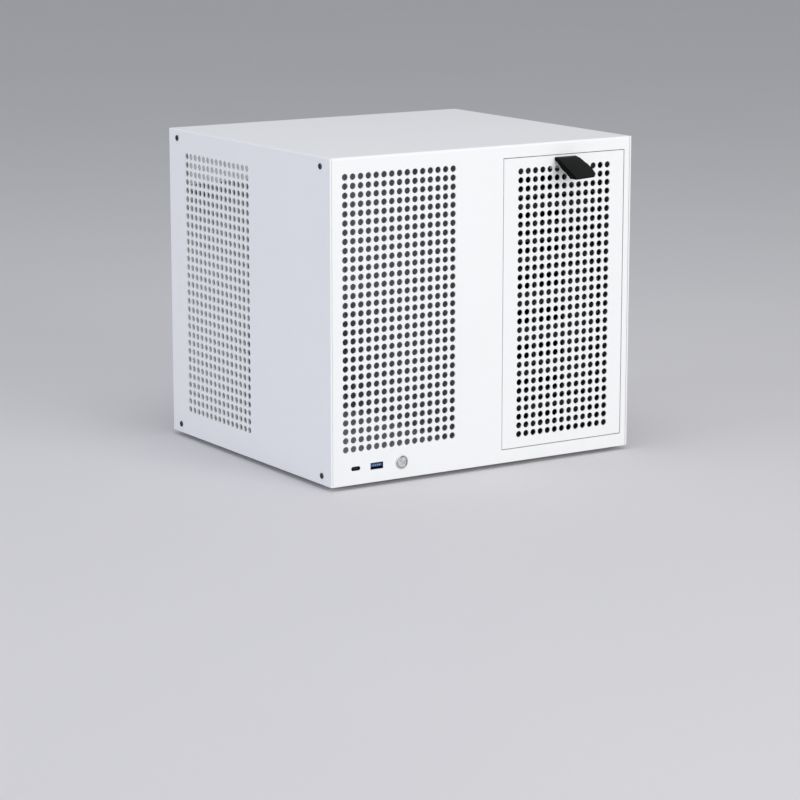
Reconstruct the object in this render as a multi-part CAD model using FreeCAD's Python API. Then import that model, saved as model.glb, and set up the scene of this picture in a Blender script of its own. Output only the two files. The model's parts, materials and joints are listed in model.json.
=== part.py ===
"""A white sheet-metal NAS case with a perforated front, a tilting drive door and drive bays.

Millimetres. The front faces -Y, +X is to the right seen from the front, +Z is up.
The origin is on the floor, at the middle of the box that holds the case and its pull tab.
"""
import FreeCAD, Part
import math
import os

# Outer size of the case
case_width = 335.0
case_depth = 300.0
case_height = 300.0
foot_height = 4.0
foot_radius = 9.0
foot_inset = 26.0

# Small round pieces are prisms with this many sides: screws, feet, and the turned push-button
screw_sides = 12
foot_sides = 16
turned_sides = 32

# Cuts run past the face they open by this much, and a full round stops this far short of half a height
cut_margin = 2.0
round_short = 0.03

# Sheet metal
sheet = 1.2
side_sheet = 1.5
bend_radius = 2.0
front_flange = 10.0
edge_flange = 17.0
top_fold = 6.0

# Perforation: the real holes, and the spacing of the cuts that stand for groups of them
hole_diameter = 6.0
hole_pitch = 8.3
cut_pitch = 21.0
cut_sides = 6
field_margin = 8.5
front_field_columns = 15
door_field_columns = 13
side_field_columns = 15
front_field_left = 11.6
front_field_base = 29.2
side_field_front = 144.5
side_field_base = 22.4

# Side plate screws
side_screw_from_end = 16.3
side_screw_from_edge = 8.4
side_screw_radius = 2.8
side_screw_head = 1.0

# Door and its opening
door_width = 138.1
door_top_strip = 12.6
door_right_strip = 8.6
door_base = 13.0
door_depth = 10.0
door_gap = 0.7
opening_flange = 14.0
pivot_in = 2.4
pivot_up = 5.0
pin_radius = 1.0
pin_clearance = 0.05

# Pull tab
tab_width = 24.3
tab_end_width = 22.3
tab_off_middle = 0.8
tab_lean = 1.05
tab_swell = 3.4
tab_swell_reach = 21.0
tab_thickness = 2.6
tab_free_thickness = 4.4
tab_tip_thickness = 1.2
tab_heel = 6.0
tab_nose = 7.0
tab_below_top = 3.4
tab_reach = 32.0
tab_drop = 15.5
tab_straight = 4.0
tab_corner = 4.0
slot_clearance = 0.3
clamp_height = 9.0
clamp_thickness = 2.0

# Magnets
magnet_width = 20.0
magnet_height = 6.0
magnet_thickness = 4.0
magnet_inset = 12.0
magnet_gap = 0.3

# Front ports and push-button
port_height = 15.0
usb_c_from_left = 26.2
usb_c_width = 9.2
usb_c_height = 3.4
usb_c_depth = 9.0
usb_c_tongue_width = 5.8
usb_c_tongue_height = 0.7
usb_a_from_left = 48.9
usb_a_width = 13.2
usb_a_height = 5.8
usb_a_depth = 17.0
usb_a_tongue_width = 11.6
usb_a_tongue_height = 2.6
tongue_inset = 0.8
usb_a_tongue_gap = 0.7
riser_width = 4.6
port_wall = 0.4
port_clearance = 0.3
button_from_left = 76.0
bezel_radius = 6.6
bezel_height = 0.6
barrel_radius = 5.9
barrel_length = 18.0
cap_radius = 5.1
cap_clearance = 0.3
cap_length = 10.0
button_travel = 1.5
nut_sides = 6
nut_across = 14.0
nut_height = 3.0
board_thickness = 1.6
port_board_width = 50.0
port_board_depth = 26.0
port_board_gap = 1.2
bracket_width = 58.0
bracket_foot = 13.0

# Drive bays
bay_count = 8
bay_base = 22.0
bay_top = 22.0
tray_width = 112.0
tray_clearance = 0.5
tray_length = 158.0
tray_floor = 1.5
tray_wall_below = 8.0
tray_face_gap = 3.0
tray_rim = 7.0
vent_count = 2
tray_face_thickness = 8.0
tray_face_back = 17.0
latch_width = 30.0
latch_recess = 5.0
runner_width = 5.0

# Backplane
backplane_behind_tray = 8.0
socket_width = 46.0
socket_height = 7.0
socket_gap = 1.5
socket_up = 1.5
header_count = 4
header_width = 24.0
header_height = 12.0
header_depth = 10.0

# Fans
fan_size = 120.0
fan_thickness = 25.0
fan_bore_radius = 57.0
fan_bore_sides = 28
fan_corner = 4.0
fan_hole_span = 105.0
fan_hole_radius = 2.2
fan_screw_radius = 3.4
fan_screw_head = 1.4
fan_spacing = 122.0
fan_clearance = 0.3
fan_hub_radius = 20.0
fan_tip_clearance = 1.5
fan_blades = 7
blade_thickness = 2.0
blade_root_share = 0.5
blade_sunk = 4.0
blade_pitch_deg = 38.0
motor_plate = 4.0
strut_width = 6.0
hub_gap = 0.8
hub_length = 17.0
shaft_radius = 2.0
grille_radius = 55.0
grille_spoke = 7.0
grille_hub_radius = 16.0

# Main board places
standoff_sides = 6
standoff_across = 6.0
standoff_height = 6.5
standoff_columns = 3
standoff_rows = 3
board_hole_span_depth = 203.2
board_hole_span_height = 227.3
board_rear_inset = 34.0
board_low_hole = 34.0
io_height = 158.75
io_width = 44.45
io_base = 110.0
slot_count = 4
slot_pitch = 20.32
slot_length = 104.0
slot_opening = 12.0
slot_cover_width = 18.4
slot_cover_length = 116.0
slot_first = 22.0
supply_width = 81.5
supply_height = 40.5
supply_from_left = 22.0
supply_below_top = 16.0
shelf_depth = 150.0
shelf_lip = 12.0

# Derived places
half_width = case_width / 2
inner_half = half_width - side_sheet
front_y = -(case_depth - tab_reach) / 2
rear_y = front_y + case_depth
base_z = foot_height
top_z = foot_height + case_height
door_height = case_height - door_base - door_top_strip
field_rows = int((door_height - 2 * field_margin) / hole_pitch)
door_right = half_width - door_right_strip
door_left = door_right - door_width
door_middle = (door_left + door_right) / 2
tab_middle = door_middle + tab_off_middle
door_low = base_z + door_base
door_high = door_low + door_height
pivot_y = front_y + pivot_in
pivot_z = door_low + pivot_up
cage_half = tray_width / 2 + tray_clearance
tray_front = front_y + tray_face_back
tray_rear = tray_front + tray_length
backplane_y = tray_rear + backplane_behind_tray
partition_x = door_middle - cage_half - sheet
stack_base = base_z + bay_base
stack_height = case_height - bay_base - bay_top
bay_pitch = stack_height / bay_count
tray_face_height = bay_pitch - tray_face_gap
tray_wall_height = bay_pitch - tray_wall_below
fan_middle = partition_x + sheet + fan_clearance + fan_size / 2
fan_rear = rear_y - sheet
fan_front = fan_rear - fan_thickness
X_AXIS = FreeCAD.Vector(1, 0, 0)
Y_AXIS = FreeCAD.Vector(0, 1, 0)
Z_AXIS = FreeCAD.Vector(0, 0, 1)


def block(x0, x1, y0, y1, z0, z1):
    """A box between two corners."""
    return Part.makeBox(x1 - x0, y1 - y0, z1 - z0, FreeCAD.Vector(x0, y0, z0))


def rod(x, y, z, axis, radius, length):
    """A cylinder that starts at a point and runs along an axis."""
    return Part.makeCylinder(radius, length, FreeCAD.Vector(x, y, z), axis)


def prism(x, y, z, axis, sides, radius, length):
    """A regular prism around an axis, with two of its corners on the horizontal."""
    flat = X_AXIS if axis.x == 0 else Y_AXIS
    across = axis.cross(flat)
    start = FreeCAD.Vector(x, y, z)
    corners = []
    for step in range(sides + 1):
        turn = 2 * math.pi * step / sides
        corners.append(start + flat * (radius * math.cos(turn)) + across * (radius * math.sin(turn)))
    return Part.Face(Part.makePolygon(corners)).extrude(axis * length)


def join(solids):
    """One solid out of several that meet."""
    first, *rest = solids
    return first.fuse(rest).removeSplitter() if rest else first


def write(name, shape):
    """Save one named piece of the case."""
    shape.exportStep(f"parts/{name}.step")
    print(name, len(shape.Solids), "solid(s)", round(shape.Volume), "mm3", shape.isValid())


def field_cuts(columns, low, base, make_cut):
    """Cuts that open a perforated field as far as its real round holes do.

    Each cut is a hexagon that stands for a square group of holes and has their open area.
    """
    across = max(1, round(columns * hole_pitch / cut_pitch))
    up = max(1, round(field_rows * hole_pitch / cut_pitch))
    step_across = columns * hole_pitch / across
    step_up = field_rows * hole_pitch / up
    open_area = columns * field_rows * math.pi * hole_diameter ** 2 / 4 / (across * up)
    corner_radius = math.sqrt(2 * open_area / (3 * math.sqrt(3)))
    cuts = []
    for column in range(across):
        for row in range(up):
            place = low + (column + 0.5) * step_across
            cuts.append(make_cut(place, base + (row + 0.5) * step_up, corner_radius))
    return Part.makeCompound(cuts)


def front_cut(x, z, radius):
    """One perforation through the front sheet."""
    return prism(x, front_y - cut_margin, z, Y_AXIS, cut_sides, radius, sheet + 2 * cut_margin)


def side_cut(y, z, radius):
    """One perforation through the left side plate."""
    return prism(-half_width - cut_margin, y, z, X_AXIS, cut_sides, radius, side_sheet + 2 * cut_margin)


def round_bend(shape, y, z):
    """Round a fold that runs along X, on its outer corner and on its inner one."""
    for radius, inset in ((bend_radius, 0), (bend_radius - sheet, sheet)):
        folds = []
        for edge in edges_along(shape, X_AXIS):
            middle = edge.BoundBox.Center
            if abs(middle.y - y - inset) < 0.01 and abs(middle.z - z + inset) < 0.01:
                folds.append(edge)
        shape = shape.makeFillet(radius, folds)
    return shape


def front_panel():
    """The front sheet, folded back at both sides and around the door opening."""
    low_z = base_z + sheet
    high_z = top_z - bend_radius
    face = block(-inner_half, inner_half, front_y, front_y + sheet, base_z, top_z)
    left = block(-inner_half, -inner_half + sheet, front_y, front_y + front_flange, low_z, high_z)
    right = block(inner_half - sheet, inner_half, front_y, front_y + front_flange, low_z, high_z)
    gap_left = door_left - door_gap
    gap_right = door_right + door_gap
    gap_low = door_low - door_gap
    gap_high = door_high + door_gap
    back = front_y + opening_flange
    frame = [
        block(gap_left - sheet, gap_left, front_y, back, gap_low, gap_high + sheet),
        block(gap_right, gap_right + sheet, front_y, back, gap_low, gap_high + sheet),
        block(gap_left, gap_right, front_y, back, gap_high, gap_high + sheet),
    ]
    lip = block(-inner_half, inner_half, front_y, front_y + top_fold, top_z - sheet, top_z)
    panel = round_bend(join([face, lip]), front_y, top_z)
    panel = join([panel, left, right] + frame)
    panel = panel.cut(block(gap_left, gap_right, front_y - cut_margin, back + cut_margin, gap_low, gap_high))
    port_z = base_z + port_height
    a_x = usb_a_from_left - half_width
    c_x = usb_c_from_left - half_width
    holes = [
        port_hole(a_x, port_z, usb_a_width, usb_a_height, port_clearance),
        port_hole(c_x, port_z, usb_c_width, usb_c_height, usb_c_height / 2 + port_clearance),
        rod(button_from_left - half_width, front_y - cut_margin, port_z, Y_AXIS,
            barrel_radius + port_clearance, sheet + 2 * cut_margin),
    ]
    panel = panel.cut(Part.makeCompound(holes))
    return panel.cut(field_cuts(front_field_columns, front_field_left - half_width,
                                base_z + front_field_base, front_cut))


def port_hole(x, z, width, height, corner):
    """A round-cornered cut through the front sheet, a clearance larger than its socket."""
    half = width / 2 + port_clearance
    rise = height / 2 + port_clearance
    cut = block(x - half, x + half, front_y - cut_margin, front_y + sheet + cut_margin, z - rise, z + rise)
    return cut.makeFillet(corner - round_short, edges_along(cut, Y_AXIS))


def edges_along(shape, axis):
    """The straight edges of a shape that run along an axis."""
    found = []
    for edge in shape.Edges:
        run = edge.Vertexes[-1].Point - edge.Vertexes[0].Point
        if run.Length > 0 and abs(run.normalize().dot(axis)) > 0.999:
            found.append(edge)
    return found


def level_panel(outer_z, inward, start):
    """The top or base sheet, with its two long edges folded towards the inside."""
    near = min(outer_z, outer_z + inward * sheet)
    plate = block(-inner_half, inner_half, front_y + start, rear_y, near, near + sheet)
    fold_low = min(outer_z, outer_z + inward * edge_flange)
    folds = []
    for edge_x in (-inner_half, inner_half - sheet):
        folds.append(block(edge_x, edge_x + sheet, front_y + front_flange, rear_y - front_flange,
                           fold_low, fold_low + edge_flange))
    return join([plate] + folds)


def rear_panel():
    """The rear sheet with the openings for the fans, the board, its cards and the supply."""
    low_z = base_z + sheet
    high_z = top_z - sheet
    face = block(-inner_half, inner_half, rear_y - sheet, rear_y, low_z, high_z)
    folds = []
    for edge_x in (-inner_half, inner_half - sheet):
        folds.append(block(edge_x, edge_x + sheet, rear_y - front_flange, rear_y, low_z, high_z))
    panel = join([face] + folds)
    cuts = [through_rear(io_left(), io_left() + io_width, base_z + io_base, io_height)]
    cuts.append(through_rear(supply_left(), supply_left() + supply_width, supply_low(), supply_height))
    for slot in range(slot_count):
        middle = slot_middle(slot)
        cuts.append(through_rear(io_left() + io_width - slot_length, io_left() + io_width,
                                 middle - slot_opening / 2, slot_opening))
    for centre_z in fan_heights():
        cuts += fan_grille_cuts(centre_z)
    return panel.cut(Part.makeCompound(cuts))


def through_rear(x0, x1, z0, height):
    """A rectangular cut through the rear sheet."""
    return block(x0, x1, rear_y - sheet - cut_margin, rear_y + cut_margin, z0, z0 + height)


def io_left():
    """Left edge of the board's port opening, which stands beside the partition."""
    return partition_x - standoff_height - sheet - io_width


def supply_left():
    """Left edge of the power supply's opening."""
    return -half_width + supply_from_left


def supply_low():
    """Lower edge of the power supply's opening."""
    return top_z - supply_below_top - supply_height


def slot_middle(slot):
    """Height of the middle of a card slot."""
    return base_z + slot_first + slot * slot_pitch


def fan_heights():
    """Heights of the two fan axes."""
    middle = base_z + case_height / 2
    return (middle - fan_spacing / 2, middle + fan_spacing / 2)


def fan_grille_cuts(centre_z):
    """Four sectors of a ring, with spokes between them, for a fan to blow through."""
    near = rear_y - sheet - cut_margin
    far = rear_y + cut_margin
    start = (fan_middle, near, centre_z)
    ring = rod(*start, Y_AXIS, grille_radius, far - near)
    ring = ring.cut(rod(*start, Y_AXIS, grille_hub_radius, far - near))
    half = grille_spoke / 2
    reach = grille_radius + grille_spoke
    upright = block(fan_middle - half, fan_middle + half, near, far, centre_z - reach, centre_z + reach)
    across = block(fan_middle - reach, fan_middle + reach, near, far, centre_z - half, centre_z + half)
    return ring.cut([upright, across]).Solids


def side_panel(side):
    """A flat side plate, whose edges lie flush with the front and the top."""
    outer = side * half_width
    inner = side * inner_half
    plate = block(min(outer, inner), max(outer, inner), front_y, rear_y, base_z, top_z)
    if side > 0:
        return plate
    return plate.cut(field_cuts(side_field_columns, front_y + side_field_front,
                                base_z + side_field_base, side_cut))


def side_screws(side):
    """The four heads at the corners of a side plate."""
    outer = side * half_width
    heads = []
    for y in (front_y + side_screw_from_end, rear_y - side_screw_from_end):
        for z in (base_z + side_screw_from_edge, top_z - side_screw_from_edge):
            heads.append(prism(outer, y, z, X_AXIS * side, screw_sides, side_screw_radius, side_screw_head))
    return Part.makeCompound(heads)


def feet():
    """Four round rubber feet under the base."""
    made = []
    for x in (-half_width + foot_inset, half_width - foot_inset):
        for y in (front_y + foot_inset, rear_y - foot_inset):
            made.append(prism(x, y, 0, Z_AXIS, foot_sides, foot_radius, foot_height))
    return Part.makeCompound(made)


def door_panel():
    """The perforated door, a shallow pan with a folded edge, pivot holes and a slot for its tab."""
    outer = block(door_left, door_right, front_y, front_y + door_depth, door_low, door_high)
    hollow = block(door_left + sheet, door_right - sheet, front_y + sheet,
                   front_y + door_depth + cut_margin, door_low + sheet, door_high - sheet)
    pan = outer.cut(hollow)
    pivots = rod(door_left - cut_margin, pivot_y, pivot_z, X_AXIS, pin_radius + pin_clearance,
                 door_width + 2 * cut_margin)
    half = tab_width / 2 + slot_clearance
    rise = tab_thickness / 2 + slot_clearance
    slot = block(tab_middle - half, tab_middle + half, front_y - cut_margin, front_y + sheet + cut_margin,
                 tab_z() - rise, tab_z() + rise)
    pan = pan.cut([pivots, slot])
    left = door_middle - door_field_columns * hole_pitch / 2
    base = (door_low + door_high - field_rows * hole_pitch) / 2
    return pan.cut(field_cuts(door_field_columns, left, base, front_cut))


def tab_z():
    """Height of the middle of the pull tab where it leaves the door."""
    return door_high - tab_below_top


def tab_profile():
    """The tab seen from the side: straight through the slot, then thicker, drooping to a thin tip."""
    root = FreeCAD.Vector(0, front_y + sheet + clamp_thickness, tab_z())
    bend = FreeCAD.Vector(0, front_y - tab_straight, tab_z())
    tip = FreeCAD.Vector(0, front_y - tab_reach, tab_z() - tab_drop)
    slope = math.atan2(tab_drop, tab_reach - tab_straight)
    half = tab_thickness / 2
    mitre = FreeCAD.Vector(0, -half * math.tan(slope / 2), half)
    droop = FreeCAD.Vector(0, -half * math.sin(slope), half * math.cos(slope))
    rise = Z_AXIS * half
    along = (tip - bend).normalize()
    out = droop * (1 / half)
    top_end = tip + droop
    nose = top_end - along * tab_nose - out * tab_free_thickness
    heel = bend + along * tab_heel + droop - out * tab_free_thickness
    corners = [root + rise, bend + mitre, top_end, top_end - out * tab_tip_thickness, nose, heel,
               bend - mitre, root - rise]
    return Part.Face(Part.makePolygon(corners + corners[:1]))


def pull_tab():
    """The drooping tab, whose right edge swells out and turns in again to the tip."""
    inside = front_y + door_depth
    bend_y = front_y - tab_straight
    tip_y = front_y - tab_reach - tab_thickness / 2
    half = tab_width / 2
    end_left = tab_middle + tab_lean - tab_end_width / 2
    end_right = end_left + tab_end_width
    outline = [(tab_middle - half, inside), (tab_middle - half, bend_y), (end_left, tip_y),
               (end_right, tip_y), (tab_middle + half + tab_swell, front_y - tab_swell_reach),
               (tab_middle + half, bend_y), (tab_middle + half, inside)]
    corners = [FreeCAD.Vector(x, y, base_z) for x, y in outline]
    plan = Part.Face(Part.makePolygon(corners + corners[:1])).extrude(Z_AXIS * case_height)
    rounded = []
    for edge in edges_along(plan, Z_AXIS):
        if edge.BoundBox.YMax < bend_y - tab_straight and edge.BoundBox.XMin > tab_middle:
            rounded.append(edge)
    plan = plan.makeFillet(tab_corner, rounded)
    strap = tab_profile().extrude(X_AXIS * case_width)
    strap.translate(X_AXIS * -half_width)
    return strap.common(plan)


def tab_clamp():
    """A bar behind the door's slot that grips the strap, with the strap's slot through it."""
    half = tab_width / 2 + clamp_height / 2
    bar = block(tab_middle - half, tab_middle + half, front_y + sheet,
                front_y + sheet + clamp_thickness, tab_z() - clamp_height, door_high - sheet)
    strap = tab_width / 2
    rise = tab_thickness / 2
    return bar.cut(block(tab_middle - strap, tab_middle + strap, front_y, front_y + door_depth,
                         tab_z() - rise, tab_z() + rise))


def magnet_places():
    """Left edges of the two door magnets."""
    return (door_left + magnet_inset, door_right - magnet_inset - magnet_width)


def door_magnets():
    """Two block magnets under the door's upper fold, facing the strikes behind them."""
    back = front_y + opening_flange - sheet - magnet_gap
    high = door_high - sheet
    made = []
    for x in magnet_places():
        made.append(block(x, x + magnet_width, back - magnet_thickness, back, high - magnet_height, high))
    return Part.makeCompound(made)


def strike_plates():
    """Two steel tabs that hang from the opening's upper fold, for the magnets to hold on to."""
    back = front_y + opening_flange
    high = door_high + door_gap
    made = []
    for x in magnet_places():
        made.append(block(x, x + magnet_width, back - sheet, back, high - magnet_height - 2 * sheet, high))
    return Part.makeCompound(made)


def pivot_pins():
    """Two studs on the opening's side folds, on which the door tilts."""
    reach = door_gap + sheet
    return Part.makeCompound([
        rod(door_left - door_gap, pivot_y, pivot_z, X_AXIS, pin_radius, reach),
        rod(door_right - sheet, pivot_y, pivot_z, X_AXIS, pin_radius, reach),
    ])


def partition():
    """The upright sheet that carries the main board on one side and the drive runners on the other."""
    plate = block(partition_x, partition_x + sheet, front_y + opening_flange, rear_y - sheet,
                  base_z + sheet, top_z - sheet)
    return join([plate] + runners(partition_x + sheet, 1))


def cage_wall():
    """The outer sheet of the drive cage, with the other row of runners."""
    inner = door_middle + cage_half
    plate = block(inner, inner + sheet, front_y + opening_flange, backplane_y + board_thickness,
                  base_z + sheet, top_z - sheet)
    return join([plate] + runners(inner, -1))


def runners(wall_x, way):
    """One ledge for each tray, standing off a cage wall."""
    made = []
    for bay in range(bay_count):
        low = stack_base + bay * bay_pitch
        x0, x1 = sorted((wall_x, wall_x + way * runner_width))
        made.append(block(x0, x1, tray_front + tray_face_thickness, tray_rear, low, low + sheet))
    return made


def tray(bay):
    """A drive tray: a channel that lies on its two runners, with a latch recess in its face."""
    low = stack_base + bay * bay_pitch + sheet
    half = tray_width / 2
    body_front = tray_front + tray_face_thickness
    face = block(door_middle - half, door_middle + half, tray_front, body_front, low, low + tray_face_height)
    bed = block(door_middle - half, door_middle + half, body_front, tray_rear, low, low + tray_floor)
    walls = []
    for x in (door_middle - half, door_middle + half - tray_floor):
        walls.append(block(x, x + tray_floor, body_front, tray_rear, low, low + tray_wall_height))
    shape = join([face, bed] + walls)
    latch_right = door_middle + half - tray_rim
    latch_left = latch_right - latch_width
    low_cut = low + tray_rim
    high_cut = low + tray_face_height - tray_rim
    recess = block(latch_left, latch_right, tray_front, tray_front + latch_recess, low_cut, high_cut)
    vents = []
    vent_length = (tray_width - latch_width - tray_rim * (vent_count + 2)) / vent_count
    for part in range(vent_count):
        x = door_middle - half + tray_rim + part * (vent_length + tray_rim)
        vents.append(block(x, x + vent_length, tray_front, body_front, low_cut, high_cut))
    return shape.cut([recess] + vents)


def backplane():
    """The upright board behind the trays, held between the two cage walls."""
    return block(door_middle - cage_half, door_middle + cage_half, backplane_y,
                 backplane_y + board_thickness, stack_base, stack_base + stack_height)


def drive_sockets():
    """One socket for each drive, on the front of the backplane."""
    made = []
    for bay in range(bay_count):
        low = stack_base + bay * bay_pitch + sheet + tray_floor + socket_up
        made.append(block(door_middle - socket_width / 2, door_middle + socket_width / 2,
                          tray_rear + socket_gap, backplane_y, low, low + socket_height))
    return Part.makeCompound(made)


def backplane_headers():
    """Cable headers on the rear of the backplane."""
    made = []
    rear = backplane_y + board_thickness
    for part in range(header_count):
        low = stack_base + (part + 0.5) * stack_height / header_count - header_height / 2
        made.append(block(door_middle - header_width / 2, door_middle + header_width / 2,
                          rear, rear + header_depth, low, low + header_height))
    return Part.makeCompound(made)


def fan_corners(centre_z):
    """Places of a fan's four screws, as X and Z."""
    half = fan_hole_span / 2
    return [(fan_middle + x, centre_z + z) for x in (-half, half) for z in (-half, half)]


def fan_screws():
    """The heads outside the rear sheet that hold both fans."""
    heads = []
    for centre_z in fan_heights():
        for x, z in fan_corners(centre_z):
            heads.append(prism(x, rear_y, z, Y_AXIS, screw_sides, fan_screw_radius, fan_screw_head))
    return Part.makeCompound(heads)


def fan_frame(centre_z):
    """A square fan frame with a round bore, and struts that carry the motor plate at its rear."""
    half = fan_size / 2
    frame = block(fan_middle - half, fan_middle + half, fan_front, fan_rear, centre_z - half, centre_z + half)
    frame = frame.makeFillet(fan_corner, edges_along(frame, Y_AXIS))
    cuts = [prism(fan_middle, fan_front, centre_z, Y_AXIS, fan_bore_sides, fan_bore_radius, fan_thickness)]
    for x, z in fan_corners(centre_z):
        cuts.append(prism(x, fan_front, z, Y_AXIS, cut_sides, fan_hole_radius, fan_thickness))
    frame = frame.cut(cuts)
    plate_front = fan_rear - motor_plate
    plate = prism(fan_middle, plate_front, centre_z, Y_AXIS, 2 * fan_blades, fan_hub_radius, motor_plate)
    parts = [frame, plate]
    half_strut = strut_width / 2
    reach = fan_bore_radius + half_strut
    parts.append(block(fan_middle - reach, fan_middle + reach, plate_front, fan_rear,
                       centre_z - half_strut, centre_z + half_strut))
    parts.append(block(fan_middle - half_strut, fan_middle + half_strut, plate_front, fan_rear,
                       centre_z - reach, centre_z + reach))
    bore = rod(fan_middle, plate_front, centre_z, Y_AXIS, shaft_radius + pin_clearance, motor_plate)
    return join(parts).cut(bore)


def fan_rotor(centre_z):
    """The hub with its pitched blades, and the shaft that runs in the motor plate."""
    hub_rear = fan_rear - motor_plate - hub_gap
    hub_front = hub_rear - hub_length
    tip = fan_bore_radius - fan_tip_clearance
    hub = prism(fan_middle, hub_front, centre_z, Y_AXIS, 2 * fan_blades, fan_hub_radius, hub_length)
    shaft = rod(fan_middle, hub_rear, centre_z, Y_AXIS, shaft_radius, hub_gap + motor_plate)
    chord = hub_length / math.sin(math.radians(blade_pitch_deg)) - blade_sunk
    root = fan_hub_radius - blade_sunk
    half = chord / 2
    root_half = half * blade_root_share
    reach = math.sqrt(tip ** 2 - half ** 2)
    outline = [(-root_half, root), (root_half, root), (half, reach), (0, tip), (-half, reach)]
    corners = [FreeCAD.Vector(x, -blade_thickness / 2, z) for x, z in outline]
    blade = Part.Face(Part.makePolygon(corners + corners[:1])).extrude(Y_AXIS * blade_thickness)
    blade.rotate(FreeCAD.Vector(0, 0, 0), Z_AXIS, blade_pitch_deg)
    middle = FreeCAD.Vector(fan_middle, (hub_front + hub_rear) / 2, centre_z)
    parts = [hub, shaft]
    for number in range(fan_blades):
        turned = blade.copy()
        turned.rotate(FreeCAD.Vector(0, 0, 0), Y_AXIS, 360 * number / fan_blades)
        turned.translate(middle)
        parts.append(turned)
    return join(parts)


def standoffs():
    """Hexagonal standoffs for the main board, on the partition's outer face."""
    made = []
    rear = rear_y - board_rear_inset
    low = base_z + board_low_hole
    for column in range(standoff_columns):
        for row in range(standoff_rows):
            y = rear - column * board_hole_span_depth / (standoff_columns - 1)
            z = low + row * board_hole_span_height / (standoff_rows - 1)
            made.append(prism(partition_x - standoff_height, y, z, X_AXIS, standoff_sides,
                              standoff_across / math.sqrt(3), standoff_height))
    return Part.makeCompound(made)


def slot_cover(slot):
    """A blank that closes one card slot from the inside."""
    middle = slot_middle(slot)
    right = io_left() + io_width + (slot_cover_length - slot_length) / 2
    return block(right - slot_cover_length, right, rear_y - 2 * sheet, rear_y - sheet,
                 middle - slot_cover_width / 2, middle + slot_cover_width / 2)


def supply_shelf():
    """A folded shelf behind the rear opening, for the power supply to stand on."""
    left = supply_left() - sheet
    right = supply_left() + supply_width + sheet
    high = supply_low() - sheet
    rear = rear_y - sheet
    shelf = block(left, right, rear - shelf_depth, rear, high - sheet, high)
    lip = block(left, right, rear - sheet, rear, high - shelf_lip, high)
    return join([shelf, lip])


def usb_a_shell():
    """The folded steel shell of the wide port, open at the front."""
    return port_shell(usb_a_from_left - half_width, usb_a_width, usb_a_height, usb_a_depth, port_wall)


def usb_c_shell():
    """The rounded steel shell of the small port, open at the front."""
    return port_shell(usb_c_from_left - half_width, usb_c_width, usb_c_height, usb_c_depth,
                      usb_c_height / 2 - round_short)


def port_shell(x, width, height, depth, corner):
    """A hollow shell around a port, closed at its rear."""
    z = base_z + port_height
    outer = block(x - width / 2, x + width / 2, front_y, front_y + depth, z - height / 2, z + height / 2)
    half = width / 2 - port_wall
    rise = height / 2 - port_wall
    hollow = block(x - half, x + half, front_y - port_wall, front_y + depth - port_wall, z - rise, z + rise)
    if corner > port_wall:
        outer = outer.makeFillet(corner, edges_along(outer, Y_AXIS))
        hollow = hollow.makeFillet(corner - port_wall, edges_along(hollow, Y_AXIS))
    return outer.cut(hollow)


def port_tongue(x, width, height, depth):
    """The contact tongue that stands in a port, from its rear wall."""
    z = base_z + port_height
    return block(x - width / 2, x + width / 2, front_y + tongue_inset, front_y + depth - port_wall,
                 z - height / 2, z + height / 2)


def usb_a_tongue():
    """The blue tongue of the wide port, in the upper half of its shell."""
    tongue = port_tongue(usb_a_from_left - half_width, usb_a_tongue_width, usb_a_tongue_height, usb_a_depth)
    rise = (usb_a_height - usb_a_tongue_height) / 2 - port_wall - usb_a_tongue_gap
    tongue.translate(Z_AXIS * rise)
    return tongue


def usb_c_tongue():
    """The thin tongue in the middle of the small port."""
    return port_tongue(usb_c_from_left - half_width, usb_c_tongue_width, usb_c_tongue_height, usb_c_depth)


def port_board():
    """The small board that carries the two ports, behind the front sheet."""
    middle = (usb_a_from_left + usb_c_from_left) / 2 - half_width
    high = base_z + port_height - usb_a_height / 2
    near = front_y + sheet + port_board_gap
    return block(middle - port_board_width / 2, middle + port_board_width / 2, near,
                 near + port_board_depth, high - board_thickness, high)


def port_bracket():
    """The folded bracket that stands on the base and carries the port board."""
    middle = (usb_a_from_left + usb_c_from_left) / 2 - half_width
    left = middle - bracket_width / 2
    right = middle + bracket_width / 2
    high = base_z + port_height - usb_a_height / 2 - board_thickness
    near = front_y + sheet + port_board_gap
    far = near + port_board_depth
    low = base_z + sheet
    table = block(left, right, near, far, high - sheet, high)
    leg = block(left, right, far - sheet, far, low, high)
    foot = block(left, right, far - sheet, far + bracket_foot, low, low + sheet)
    return join([table, leg, foot])


def usb_c_riser():
    """The block that lifts the small port to the height of the wide one."""
    x = usb_c_from_left - half_width
    low = base_z + port_height - usb_a_height / 2
    high = base_z + port_height - usb_c_height / 2
    return block(x - riser_width / 2, x + riser_width / 2, front_y + sheet + port_board_gap,
                 front_y + usb_c_depth, low, high)


def button_body():
    """The turned body of the push-button: a bezel on the front sheet and a barrel behind it."""
    x = button_from_left - half_width
    z = base_z + port_height
    bezel = prism(x, front_y - bezel_height, z, Y_AXIS, turned_sides, bezel_radius, bezel_height)
    barrel = prism(x, front_y, z, Y_AXIS, turned_sides, barrel_radius, barrel_length)
    well = prism(x, front_y - bezel_height, z, Y_AXIS, turned_sides, cap_radius + cap_clearance,
                 cap_length + button_travel + cap_clearance)
    return join([bezel, barrel]).cut(well)


def button_cap():
    """The pressed face of the push-button, flush with its bezel."""
    return prism(button_from_left - half_width, front_y - bezel_height, base_z + port_height, Y_AXIS,
                 turned_sides, cap_radius, cap_length)


def button_nut():
    """The nut that pulls the push-button against the front sheet."""
    x = button_from_left - half_width
    z = base_z + port_height
    nut = prism(x, front_y + sheet, z, Y_AXIS, nut_sides, nut_across / math.sqrt(3), nut_height)
    return nut.cut(prism(x, front_y + sheet, z, Y_AXIS, turned_sides, barrel_radius, nut_height))


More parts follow.
